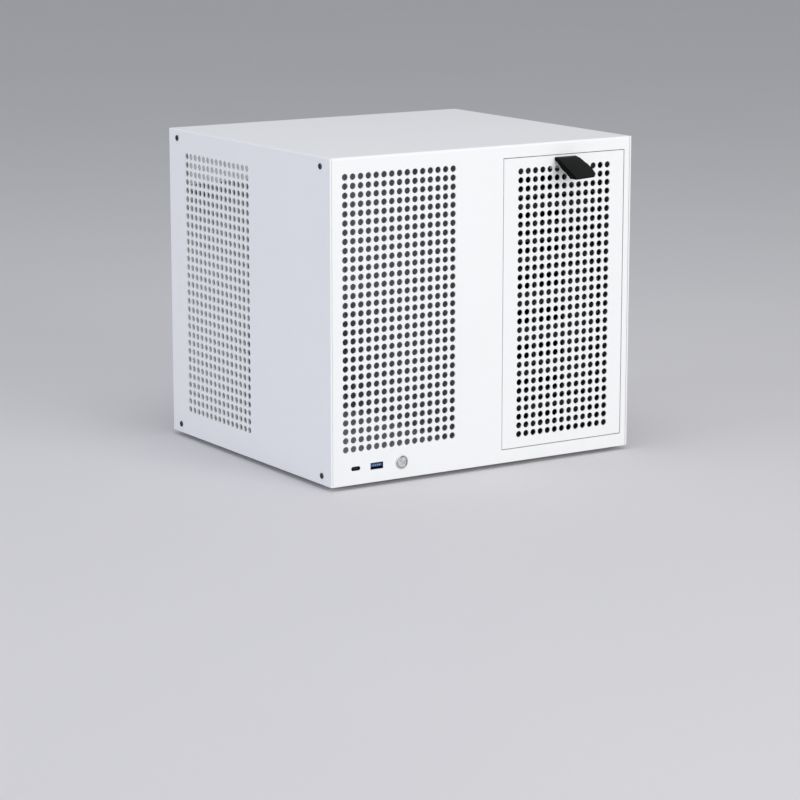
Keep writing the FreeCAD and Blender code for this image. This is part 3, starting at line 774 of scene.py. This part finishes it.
side_columns, side_rows = field_lines(side_field, SIDE_COLUMNS)
plate = flat_sheet(merged_lines(rim_lines(front_y, rear_y), side_columns),
                   merged_lines(rim_lines(base_z, top_z, TOP_BREAK), side_rows),
                   sheet_kind([side_field]), stand_left, side_sheet)
left_plate = piece_from(plate, "left_side_plate")
punch(left_plate, side_field, SIDE_COLUMNS, stand_left, side_sheet, -math.pi / 2)
settle(left_plate, "chassis", "white_coat", "left_side_panel")
blank = bmesh.new()
add_box(blank, *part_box("right_side_panel"), EDGE_BREAK)
right_plate = piece_from(blank, "right_side_plate", white_coat)
settle(right_plate, "chassis", "white_coat", "right_side_panel")

# %% [markdown]
# ## Turned pieces
# Screws, feet and the button are turned on a lathe, so each is a stack of rings around an axis. A
# ring is given by a height and a radius. The radius may also be a formula of the angle, which is
# how a cross recess is pressed into a screw head without any boolean.

# %% Rings around an axis


def add_turned(shape, rings, sides):
    """Rings of (height, radius) along Z, joined by faces and closed at both ends."""
    loops = [ring_of(shape, radius, height, sides) for height, radius in rings]
    for lower, upper in zip(loops, loops[1:]):
        bridge(shape, lower, upper)
    shape.faces.new(loops[0][::-1])
    shape.faces.new(loops[-1])


def cross_recess(length, width):
    """Radius of a cross with four arms, at an angle."""
    def radius(turn):
        off = abs((turn + math.pi / 4) % (math.pi / 2) - math.pi / 4)
        return min(length, width / max(math.sin(off), width / length))
    return radius


def hidden_piece(shape, name, smooth_below=math.radians(35)):
    """A piece for repeating: it is made but not linked into the scene."""
    mesh = mesh_from(shape, name)
    mesh.shade_smooth()
    mesh.set_sharp_from_angle(angle=smooth_below)
    return bpy.data.objects.new(name, mesh)


def turned_piece(name, rings, sides):
    """A piece for repeating, out of rings."""
    shape = bmesh.new()
    add_turned(shape, rings, sides)
    return hidden_piece(shape, name)


print("turned pieces ready")

# %% A screw head
HEAD_SIDES = 48
HEAD_PROFILE = ((0, 1), (0.35, 1), (0.7, 0.93), (0.92, 0.78), (1, 0.68))
CROSS_LENGTH = 0.62
CROSS_WIDTH = 0.14
CROSS_FLOOR = 0.35


def screw_head(radius, height):
    """A pan head with a cross recess, standing on Z = 0; its form is in shares of its size."""
    cross = cross_recess(radius * CROSS_LENGTH, radius * CROSS_WIDTH)
    rings = [(height * up, radius * out) for up, out in HEAD_PROFILE]
    rings += [(height, cross), (height * CROSS_FLOOR, cross)]
    return turned_piece("screw head", rings, HEAD_SIDES)


print("rings in a screw head:", len(HEAD_PROFILE) + 2)

# %% The node tree that repeats a piece on points


def repeat_tree():
    """A copy of a piece on every point of the input, turned one way, with a finish."""
    tree, start, end = new_tree(
        "repeat on points", Piece="Object", Turn="Vector", Finish="Material")
    wires = start.outputs
    real = copies(tree, wires["Geometry"], wires["Piece"], wires["Turn"])
    return coat_and_end(tree, real, wires["Finish"], end)


REPEAT = repeat_tree()
TO_LEFT = (0, -math.pi / 2, 0)
TO_RIGHT = (0, math.pi / 2, 0)
TO_REAR = (-math.pi / 2, 0, 0)
TO_FRONT = (math.pi / 2, 0, 0)
UPRIGHT = (0, 0, 0)


def repeated(name, places, piece, turn, finish):
    """One object that holds a copy of a piece at each place."""
    points = bmesh.new()
    for place in places:
        points.verts.new(place)
    return grow(piece_from(points, name), REPEAT, Piece=piece, Turn=turn, Finish=finish)


def corners_of(low, high, inset, flat_axis, level):
    """Four places near the corners of a box's face: the face is across one axis, at a level."""
    ends = [(low[axis] + inset, high[axis] - inset) for axis in range(3)]
    ends[flat_axis] = (level,)
    return list(product(*ends))


print("repeat tree nodes:", len(REPEAT.nodes))

# %% Screws and feet
SIDE_SCREW = 2.8 * MM
FAN_SCREW = 3.4 * MM
FAN_HOLE_INSET = 7.5 * MM
FOOT = 9 * MM
FOOT_SIDES = 40
FOOT_EDGE = ((0, 2.2), (0, 0.9), (0.5, 0.3), (1.1, 0))
for node, turn in (("left_side_screws", TO_LEFT), ("right_side_screws", TO_RIGHT)):
    low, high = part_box(node)
    seat = high.x if turn == TO_LEFT else low.x
    heads = repeated(f"{node}_crossed", corners_of(low, high, SIDE_SCREW, 0, seat),
                     screw_head(SIDE_SCREW, high.x - low.x), turn, black_oxide)
    settle(heads, "chassis", "black_screw", node)
low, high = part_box("fan_screws")
fan_places = []
for fan in ("lower_fan_frame", "upper_fan_frame"):
    fan_places += corners_of(*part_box(fan), FAN_HOLE_INSET, 1, low.y)
heads = repeated("fan_screws_crossed", fan_places,
                 screw_head(FAN_SCREW, high.y - low.y), TO_REAR, black_oxide)
settle(heads, "chassis", "black_screw", "fan_screws")
low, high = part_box("feet")
foot_rings = [(up * MM, FOOT - inset * MM) for up, inset in FOOT_EDGE] + [(high.z, FOOT)]
feet = repeated("rubber_feet", corners_of(low, high, FOOT, 2, low.z),
                turned_piece("foot", foot_rings, FOOT_SIDES), UPRIGHT, foot_rubber)
settle(feet, "chassis", "foot_rubber", "feet")

# %% [markdown]
# ## The push-button
# A stainless push-button is turned from bar: a bezel with a broken edge, and a cap that slides in
# it. The cap is a piece of its own because it moves.

# %% Bezel and cap
BUTTON_SIDES = 64
BEZEL_EDGE = 0.25 * MM
BEZEL_ROUND = 0.06 * MM, 0.08 * MM
WELL_GAP = 0.3 * MM
WELL_EDGE = 0.15 * MM
CAP_EDGE = 0.2 * MM
CAP_ROOM = 1.7 * MM
CAP_DISH = ((0.02, 0.6), (0.04, 0.2))
cap_low, cap_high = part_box("button_cap")
cap = (cap_high.x - cap_low.x) / 2
cap_length = cap_high.y - cap_low.y
well = cap + WELL_GAP
seat = front_y - button_low.y
body = turned_piece("button body", [
    (button_low.y - button_high.y, barrel), (-seat, barrel), (-seat, bezel), (-BEZEL_EDGE, bezel),
    (-BEZEL_ROUND[0], bezel - BEZEL_ROUND[1]), (0, bezel - BEZEL_EDGE), (0, well + WELL_EDGE),
    (-WELL_EDGE, well), (-cap_length - CAP_ROOM, well)], BUTTON_SIDES)
cap_rings = [(-cap_length, cap), (-CAP_EDGE, cap), (0, cap - BEZEL_EDGE)]
cap_rings += [(-depth * MM, cap * share) for depth, share in CAP_DISH]
cap_piece = turned_piece("button cap", cap_rings, BUTTON_SIDES)
turned_steel = turned_metal("turned steel", (0.67, 0.67, 0.675), button_middle)
face = [(button_middle.x, button_low.y, button_middle.z)]
settle(repeated("button_bezel", face, body, TO_FRONT, turned_steel),
       "chassis", "button_steel", "button_body")
settle(repeated("button_face", face, cap_piece, TO_FRONT, turned_steel),
       "power_button", "button_steel", "button_cap")

# %% [markdown]
# ## Contacts in the wide port
# The blue tongue of the wide port carries plated contacts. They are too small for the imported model,
# so one is made here and repeated on the front of the tongue.

# %% Four contacts
CONTACTS = 4
CONTACT_PITCH = 2.3 * MM
CONTACT_HALF = 0.4 * MM
CONTACT_PROUD = 0.1 * MM
tongue_low, tongue_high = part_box("usb_a_tongue")
tongue = (tongue_low + tongue_high) / 2
contact = bmesh.new()
add_box(contact, (-CONTACT_HALF, -CONTACT_PROUD, -CONTACT_HALF), [CONTACT_HALF] * 3)
first = tongue.x - CONTACT_PITCH * (CONTACTS - 1) / 2
places = [(x, tongue_low.y, tongue.z) for x in steps(first, CONTACTS - 1, CONTACT_PITCH)]
contacts = repeated("usb_a_contacts", places, hidden_piece(contact, "contact"), UPRIGHT, zinc)
settle(contacts, "chassis", "bare_steel")

# %% [markdown]
# ## The pull strap
# A thick black tab comes out of a slot in the door and droops. It is built as a loft: a rounded
# section is moved along a line with a soft bend. It thickens after the bend, and it is skived thin
# at the tip, as leather is. Its right edge swells out and turns in again.

# %% Line, thickness and sides of the strap
STRAP_THICK = 2.6 * MM
STRAP_FACE_THICK = 3.8 * MM
STRAP_FREE_THICK = 5.7 * MM
STRAP_TIP_THICK = 2.0 * MM
STRAP_SHOULDER = 0.7 * MM
STRAP_HEEL = 6 * MM
STRAP_NOSE = 7 * MM
STRAP_STRAIGHT = 4 * MM
STRAP_REACH = 32 * MM
STRAP_DROP = 15.5 * MM
STRAP_BEND = 4 * MM
STRAP_TIP_LEFT = 10.1 * MM
STRAP_TIP_RIGHT = 12.2 * MM
STRAP_SWELL = 3.4 * MM
STRAP_SWELL_REACH = 21 * MM
STRAP_CORNER = 4 * MM
STRAP_EDGE = 0.5 * MM
STRAP_ROLL = math.radians(4)
BEND_POINTS = 12
DROOP_POINTS = 44
root_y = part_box("pull_tab")[1].y
bend = Vector((front_y - STRAP_STRAIGHT, tab_z))
sway = STRAP_ROOT / 2 * math.sin(STRAP_ROLL)
tip = Vector((front_y - STRAP_REACH + sway / 2, tab_z - STRAP_DROP))


def strap_line():
    """Places (Y, Z) along the strap's middle, from root to tip, with a rounded bend."""
    start = bend + Vector((STRAP_BEND, 0))
    finish = bend + (tip - bend).normalized() * STRAP_BEND
    curve = []
    for step in range(BEND_POINTS + 1):
        t = step / BEND_POINTS
        curve.append(start * (1 - t) ** 2 + bend * 2 * t * (1 - t) + finish * t * t)
    rest = [finish.lerp(tip, step / DROOP_POINTS) for step in range(1, DROOP_POINTS + 1)]
    return [Vector((root_y, tab_z))] + curve + rest


def ramp(length, full):
    """From 0 to 1 over a length, and level before and after."""
    return min(1.0, max(0.0, length / full))


def strap_thickness(out, past_bend, to_end):
    """Thin in the slot, a shoulder at the door, thick after the heel, thin again at the tip."""
    thick = STRAP_THICK + (STRAP_FACE_THICK - STRAP_THICK) * ramp(out, STRAP_SHOULDER)
    thick += (STRAP_FREE_THICK - STRAP_FACE_THICK) * ramp(past_bend, STRAP_HEEL)
    return STRAP_TIP_THICK + (thick - STRAP_TIP_THICK) * ramp(to_end, STRAP_NOSE)


def rounded_in(radius, to_end):
    """How far a rounded corner has drawn an edge in, at a distance before the end."""
    past = max(0.0, radius - to_end)
    return radius - math.sqrt(max(0.0, radius ** 2 - past ** 2))


def strap_sides(out, to_end):
    """Left and right edge of the strap at a distance out from the front."""
    half = STRAP_ROOT / 2
    free = max(0.0, out - STRAP_STRAIGHT)
    share = free / (STRAP_REACH - STRAP_STRAIGHT)
    left = half + (STRAP_TIP_LEFT - half) * share - rounded_in(STRAP_EDGE, to_end)
    widening = half + STRAP_SWELL * free / (STRAP_SWELL_REACH - STRAP_STRAIGHT)
    turn_in = (half + STRAP_SWELL - STRAP_TIP_RIGHT) / (STRAP_REACH - STRAP_SWELL_REACH)
    narrowing = half + STRAP_SWELL - turn_in * (out - STRAP_SWELL_REACH)
    soft = math.hypot(widening - narrowing, STRAP_SWELL / 2)
    right = (widening + narrowing - soft) / 2 - rounded_in(STRAP_CORNER, to_end)
    return tab_x - left, tab_x + right


print("strap, out and down in mm:", [round(v / MM, 1) for v in bend - tip])

# %% Loft of the strap
SECTION_STEPS = 4
EDGE_SHARE = 0.45
STRAP_SHARP = math.radians(40)
CUT_SLOPE = 0.5


def strap_section(half, thick):
    """A rounded rectangle across the strap, as (across, up); its top stays level."""
    top = STRAP_THICK / 2
    edge = min(STRAP_EDGE, EDGE_SHARE * thick)
    return rounded_outline((-half, half, top - thick, top), edge, SECTION_STEPS)


line = strap_line()
lengths = [0.0]
for before, after in zip(line, line[1:]):
    lengths.append(lengths[-1] + (after - before).length)
shape = bmesh.new()
loops = []
for number, place in enumerate(line):
    run = line[min(number + 1, len(line) - 1)] - line[max(number - 1, 0)]
    up = Vector((run.y, -run.x)).normalized()
    to_end = lengths[-1] - lengths[number]
    past_bend = (tip - bend).length - to_end
    out = front_y - place.x
    left, right = strap_sides(out, to_end)
    roll = STRAP_ROLL * max(0.0, past_bend / (tip - bend).length)
    loop = []
    for u, v in strap_section((right - left) / 2, strap_thickness(out, past_bend, to_end)):
        lifted = place + up * (v * math.cos(roll) + u * math.sin(roll))
        loop.append(shape.verts.new(((left + right) / 2 + u, *lifted)))
    loops.append(loop)
for before, after in zip(loops, loops[1:]):
    bridge(shape, before, after)
shape.faces.new(loops[0])
shape.faces.new(loops[-1])
strap_piece = piece_from(shape, "pull_strap", strap)
strap_mesh = strap_piece.data
strap_mesh.shade_smooth()
strap_mesh.set_sharp_from_angle(angle=STRAP_SHARP)
cut_edge = strap_mesh.attributes.new("cut edge", "FLOAT", "FACE")
on_side = [float(abs(face.normal.x) > CUT_SLOPE) for face in strap_mesh.polygons]
cut_edge.data.foreach_set("value", on_side)
settle(strap_piece, "door", "tab_leather", "pull_tab")

# %% [markdown]
# ## Fan blades
# A moulded fan blade is a twisted, curved plate. One blade is made by a formula, and a tree of
# nodes turns copies of it around the hub. Each rotor is a piece of its own, because each spins.

# %% One blade
BLADES = 7
BLADE_STEPS = 10
BLADE_THICK = 1.6 * MM
BLADE_TIP = 55.3 * MM
BLADE_ROOT = 1.5 * MM
BLADE_SWEEP = 0.35
BLADE_SPREAD = 0.62
BLADE_TAPER = 0.12
BLADE_OVERLAP = 1.25
BLADE_PITCH = 0.92
BLADE_CAMBER = 0.07
BLADE_THINNING = 1.6
BLADE_SHARP = math.radians(50)


def fan_blade(hub, tip, depth):
    """A blade along X around the Y axis, from inside the hub to the tip."""
    shape = bmesh.new()
    grid = {}
    for i in range(BLADE_STEPS + 1):
        out = i / BLADE_STEPS
        radius = (hub - BLADE_ROOT) + (tip - hub + BLADE_ROOT) * out
        sweep = BLADE_SWEEP * out ** 1.5
        spread = BLADE_SPREAD - BLADE_TAPER * out
        for j in range(BLADE_STEPS + 1):
            across = j / BLADE_STEPS - 0.5
            turn = sweep + spread * across * BLADE_OVERLAP
            rise = depth * (across * BLADE_PITCH + BLADE_CAMBER * math.cos(math.pi * across))
            for side in (-1, 1):
                thick = BLADE_THICK / 2 * side * (1 - BLADE_THINNING * across * across)
                grid[i, j, side] = shape.verts.new((
                    radius * math.cos(turn), rise + thick, radius * math.sin(turn)))
    last = BLADE_STEPS
    for i in range(last):
        for j in range(last):
            square = ((i, j), (i + 1, j), (i + 1, j + 1), (i, j + 1))
            for side in (-1, 1):
                shape.faces.new([grid[a, b, side] for a, b in square])
        for j in (0, last):
            shape.faces.new([grid[i, j, -1], grid[i + 1, j, -1], grid[i + 1, j, 1], grid[i, j, 1]])
            shape.faces.new([grid[j, i, -1], grid[j, i + 1, -1], grid[j, i + 1, 1], grid[j, i, 1]])
    return hidden_piece(shape, "blade", BLADE_SHARP)


print("blades on a rotor:", BLADES)

# %% The node tree that turns copies around a hub


def spin_tree():
    """Copies of a piece turned evenly around Y at a centre, joined to the input."""
    tree, start, end = new_tree(
        "turn around a hub", Piece="Object", Count="Int", Step="Float", Centre="Vector",
        Finish="Material")
    wires = start.outputs
    points = add_node(tree, "GeometryNodeMeshLine", {
        "Count": wires["Count"], "Start Location": wires["Centre"], "Offset": (0, 0, 0)})
    index = add_node(tree, "GeometryNodeInputIndex")
    angle = add_node(tree, "ShaderNodeMath", {0: index.outputs[0], 1: wires["Step"]},
                     operation="MULTIPLY")
    euler = add_node(tree, "ShaderNodeCombineXYZ", {"Y": angle.outputs[0]})
    real = copies(tree, points.outputs["Mesh"], wires["Piece"], euler.outputs[0])
    both = joined(tree, real, wires["Geometry"])
    return coat_and_end(tree, both, wires["Finish"], end)


SPIN = spin_tree()
print("spin tree nodes:", len(SPIN.nodes))

# %% The two rotors
HUB = 20 * MM
HUB_LENGTH = 17 * MM
HUB_SIDES = 48
HUB_EDGE = ((0, 1.5), (0.4, 0.4), (1.5, 0))
SHAFT = 2 * MM
blade = fan_blade(HUB, BLADE_TIP, HUB_LENGTH - 2 * BLADE_THICK)
for fan, body in (("lower_fan_rotor", "lower_rotor"), ("upper_fan_rotor", "upper_rotor")):
    low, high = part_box(fan)
    frame_low, frame_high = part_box(fan.replace("rotor", "frame"))
    middle = (frame_low + frame_high) / 2
    hub = bmesh.new()
    hub_rings = [(up * MM, HUB - inset * MM) for up, inset in HUB_EDGE]
    hub_rings += [(HUB_LENGTH, HUB), (HUB_LENGTH, SHAFT), (high.y - low.y, SHAFT)]
    add_turned(hub, hub_rings, HUB_SIDES)
    to_rear = Matrix.Rotation(-math.pi / 2, 3, "X")
    bmesh.ops.rotate(hub, cent=(0, 0, 0), matrix=to_rear, verts=hub.verts)
    bmesh.ops.translate(hub, vec=(middle.x, low.y, middle.z), verts=hub.verts)
    rotor = piece_from(hub, f"{body}_blades")
    grow(rotor, SPIN, Piece=blade, Count=BLADES, Step=2 * math.pi / BLADES,
         Centre=(middle.x, low.y + HUB_LENGTH / 2, middle.z), Finish=fan_plastic)
    settle(rotor, body, "fan_plastic", fan)

# %% [markdown]
# ## Drive trays behind the door
# Each tray has a latch lever in a recess and two small windows for its lamps. Eight equal trays are
# eight points: the lever and the windows are made once and repeated.

# %% Levers and lamp windows
TRAYS = 8
LATCH = 30 * MM
TRAY_RIM = 7 * MM
LEVER_END = 1 * MM
LEVER_EDGE = 0.6 * MM
LEVER_BARS = ((0.15, 2.3, -5.5, -2.2), (0.9, 2.9, 2.2, 5.5))
WINDOW_SIDES = 20
WINDOW_RINGS = ((0, 1.1), (0.12, 1.1), (0.2, 0.9))
WINDOW_SUNK = 0.1 * MM
WINDOW_UP = 3 * MM
tray_places = []
for number in range(1, TRAYS + 1):
    low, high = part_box(f"drive_tray_{number}")
    tray_places.append((high.x - TRAY_RIM - LATCH / 2, low.y, (low.z + high.z) / 2))
lever = bmesh.new()
reach = LATCH / 2 - LEVER_END
for front, back, base, top in LEVER_BARS:
    add_box(lever, (-reach, front * MM, base * MM), (reach, back * MM, top * MM), LEVER_EDGE)
levers = repeated("tray_levers", tray_places, hidden_piece(lever, "lever"), UPRIGHT, tray_plastic)
settle(levers, "chassis", "tray_plastic")
window = turned_piece("window", [(up * MM, out * MM) for up, out in WINDOW_RINGS], WINDOW_SIDES)
window_x = LATCH / 2 + TRAY_RIM / 2
window_places = [(x + window_x, y + WINDOW_SUNK, z + up)
                 for x, y, z in tray_places for up in (-WINDOW_UP, WINDOW_UP)]
windows = repeated("tray_windows", window_places, window, TO_FRONT, lamp_window)
settle(windows, "chassis", "tray_plastic")

# %% [markdown]
# ## Finishes for the nodes that keep their CAD shape
# The inner sheet, the boards and the trays already have their true form, so they only need a
# finish.

# %% Assign finishes
FINISH_OF_SLOT = {
    "white_coat": white_coat, "inner_coat": inner_coat, "black_screw": black_oxide,
    "foot_rubber": foot_rubber, "tab_leather": strap, "tray_plastic": tray_plastic,
    "board_green": green_board, "socket_black": socket_plastic, "bare_steel": zinc,
    "port_nickel": black_nickel, "port_blue": port_blue, "fan_plastic": fan_plastic,
    "button_steel": turned_steel}
for part in frame["record"]["subparts"]:
    materials = nodes[part["node"]].data.materials
    materials.clear()
    materials.append(FINISH_OF_SLOT[part["material_slot"]])
print("finishes set on", len(nodes), "nodes")

# %% [markdown]
# ## Studio
# A wide pale floor under a pale sky that fills every shadow a little, and three large soft lamps:
# the strongest in front, one at the left side and one above. The camera stands where the
# photographer stood: left of the front, a little above, with a long lens.

# %% Floor and sky
FLOOR_HALF = 30
FLOOR_SHADES = (0.66, 0.65, 0.665), (0.68, 0.67, 0.685)
FLOOR_ROUGHNESS = 0.75
SKY_SHADE = (0.93, 0.957, 1.0, 1)
SKY_STRENGTH = 0.48
shape = bmesh.new()
bmesh.ops.create_grid(shape, x_segments=1, y_segments=1, size=FLOOR_HALF)
material, shader, place = new_finish("studio floor")
dress(shader, place, place.noise(3, 2).blend(*FLOOR_SHADES), FLOOR_ROUGHNESS)
floor = piece_from(shape, "studio_floor", material)
world = bpy.data.worlds.new("studio")
world.use_nodes = True
sky = world.node_tree.nodes["Background"].inputs
sky["Color"].default_value = SKY_SHADE
sky["Strength"].default_value = SKY_STRENGTH
scene.world = world
print("floor and sky:", floor.name, world.name)

# %% Lamps
LAMP_AIM = (0, 0, 0.15)
LAMPS = {
    "front lamp": ((0.5, -2.7, 0.7), 1.3, 34.6, (1.0, 0.995, 0.965)),
    "side lamp": ((-2.8, 0.1, 0.8), 1.5, 22.8, (0.82, 0.85, 1.0)),
    "top lamp": ((-0.3, -0.6, 2.6), 1.6, 21, (0.985, 0.985, 1.0))}


def stand_facing(name, data, place, target):
    """Link a lamp or a camera that stands at a place and faces a target."""
    holder = bpy.data.objects.new(name, data)
    holder.location = place
    holder.rotation_euler = (Vector(target) - Vector(place)).to_track_quat("-Z", "Y").to_euler()
    scene.collection.objects.link(holder)
    return holder


for name, (lamp_at, size, power, tint) in LAMPS.items():
    lamp = bpy.data.lights.new(name, "AREA")
    lamp.size = size
    lamp.energy = power
    lamp.color = tint
    stand_facing(name, lamp, lamp_at, LAMP_AIM)
print("lamps:", list(LAMPS))

# %% Camera
CAMERA_AT = Vector((-1.4704, -2.2738, 0.6047))
LOOK_AT = Vector((-0.0934, -0.1340, 0.0775))
LENS = 127.7
SENSOR = 36
camera = stand_facing("camera", bpy.data.cameras.new("camera"), CAMERA_AT, LOOK_AT)
camera.data.lens = LENS
camera.data.sensor_width = SENSOR
scene.camera = camera
scene.view_settings.view_transform = "Standard"
print("camera distance:", round((LOOK_AT - CAMERA_AT).length, 3))
